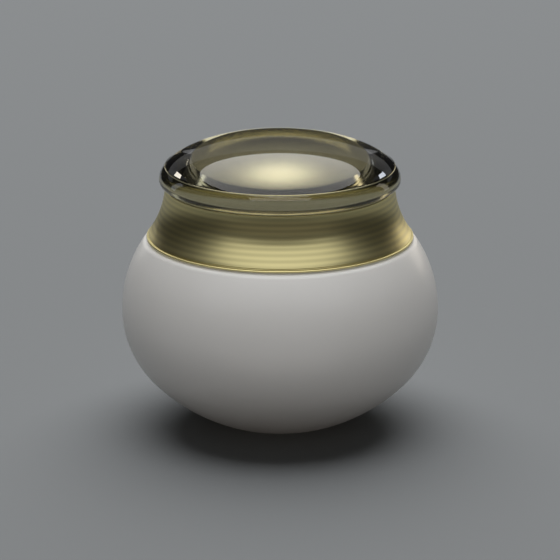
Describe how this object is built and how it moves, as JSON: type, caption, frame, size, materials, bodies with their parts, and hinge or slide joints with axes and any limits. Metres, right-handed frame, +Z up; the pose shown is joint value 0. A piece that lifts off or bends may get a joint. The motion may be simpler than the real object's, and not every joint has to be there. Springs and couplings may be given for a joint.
{
  "type": "cosmetic cream jar",
  "caption": "Round-bellied white cream jar with a flared turned-metal screw collar, a solid clear dome on top, an inner cup and a sealing disc with a pull ring.",
  "frame": {"origin": "centre of the standing ring, on the surface that the jar stands on", "axes": "+Z up along the jar's axis of revolution"},
  "size_m": [0.072, 0.072, 0.0658],
  "materials": {
    "white_lacquered_glass": "satin white lacquer",
    "white_plastic": "moulded polypropylene",
    "disc_plastic": "thin moulded polypropylene",
    "liner_foam": "fine closed-cell foam",
    "label_paper": "plain film label",
    "gold_anodised": "turned and gold anodised",
    "gold_metallised": "vacuum metallised satin gold",
    "clear_acrylic": "polished clear acrylic"
  },
  "bodies": {
    "jar": {"glass_bulb": "white_lacquered_glass", "inner_cup": "white_plastic", "base_label": "label_paper"},
    "disc": {"sealing_disc": "disc_plastic"},
    "liner": {"cap_liner": "liner_foam"},
    "cap": {"threaded_insert": "white_plastic", "collar_shell": "gold_anodised", "dome_carrier": "gold_metallised", "bonding_pad": "clear_acrylic", "clear_dome": "clear_acrylic"}
  },
  "joints": [
    {"name": "cap_rise", "type": "slide", "parent": "jar", "child": "liner", "axis": [0, 0, 1], "range_m": [0, 0.0181]},
    {"name": "cap_turn", "type": "hinge", "parent": "liner", "child": "cap", "pos_m": [0, 0, 0.05], "axis": [0, 0, 1], "range_deg": [0, 1080]},
    {"name": "disc_lift", "type": "slide", "parent": "jar", "child": "disc", "axis": [0, 0, 1], "range_m": [0, 0.0073]}
  ],
  "couplings": [
    {"joint": "cap_rise", "follows": "cap_turn", "m_per_rad": 0.00095493},
    {"joint": "disc_lift", "follows": "cap_turn", "m_per_rad": 0.00038197}
  ]
}
